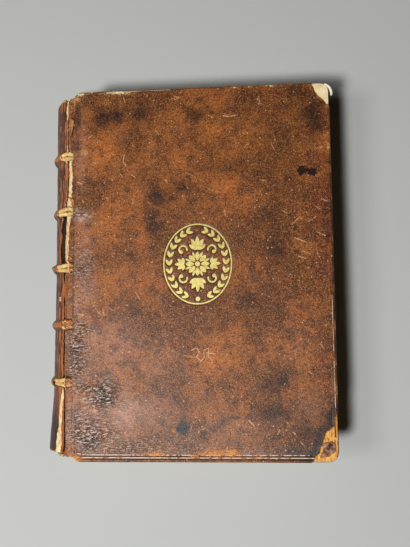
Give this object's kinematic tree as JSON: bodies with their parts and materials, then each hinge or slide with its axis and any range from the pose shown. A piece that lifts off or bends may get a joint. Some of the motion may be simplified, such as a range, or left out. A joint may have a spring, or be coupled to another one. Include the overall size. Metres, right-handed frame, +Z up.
{
  "type": "antique leather book",
  "caption": "Antique calf-bound quarto lying flat: raised bands, split front joint, gilt oval on the front cover; both covers open on hinges.",
  "frame": {"origin": "middle of the rear cover's underside, on the surface the book lies on", "axes": "+X to the fore edge, +Y to the head of the book, +Z up through the pages to the front cover"},
  "size_m": [0.1951, 0.25, 0.046],
  "materials": {
    "pages": "matte, toned and dusty at the edges",
    "spine_calf": "dark, rubbed on the bands",
    "front_calf": "polished mottled calf, scuffed",
    "rear_calf": "polished mottled calf",
    "pasteboard": "matte, fibrous",
    "endpaper": "matte laid paper",
    "spine_lining": "matte, glue stained",
    "sewing_cord": "twisted hemp",
    "endband": "linen thread over a core",
    "gilding": "gold leaf, a little rubbed"
  },
  "bodies": {
    "text_block": {"text_block": "pages", "spine_leather": "spine_calf", "spine_lining_1": "spine_lining", "spine_lining_2": "spine_lining", "spine_lining_3": "spine_lining", "spine_lining_4": "spine_lining", "spine_lining_5": "spine_lining", "spine_lining_6": "spine_lining", "sewing_cord_1": "sewing_cord", "sewing_cord_2": "sewing_cord", "sewing_cord_3": "sewing_cord", "sewing_cord_4": "sewing_cord", "sewing_cord_5": "sewing_cord", "headband": "endband", "tailband": "endband"},
    "front_cover": {"front_board": "pasteboard", "front_leather": "front_calf", "front_pastedown": "endpaper", "gilt_oval": "gilding", "front_slip_1": "sewing_cord", "front_slip_2": "sewing_cord", "front_slip_3": "sewing_cord", "front_slip_4": "sewing_cord", "front_slip_5": "sewing_cord"},
    "rear_cover": {"rear_board": "pasteboard", "rear_leather": "rear_calf", "rear_pastedown": "endpaper", "rear_slip_1": "sewing_cord", "rear_slip_2": "sewing_cord", "rear_slip_3": "sewing_cord", "rear_slip_4": "sewing_cord", "rear_slip_5": "sewing_cord"}
  },
  "joints": [
    {"name": "front_cover_hinge", "type": "hinge", "parent": "text_block", "child": "front_cover", "pos_m": [-0.0932, 0, 0.046], "axis": [0, -1, 0], "range_deg": [0, 180]},
    {"name": "rear_cover_hinge", "type": "hinge", "parent": "text_block", "child": "rear_cover", "pos_m": [-0.0932, 0, 0], "axis": [0, 1, 0], "range_deg": [0, 180]}
  ]
}
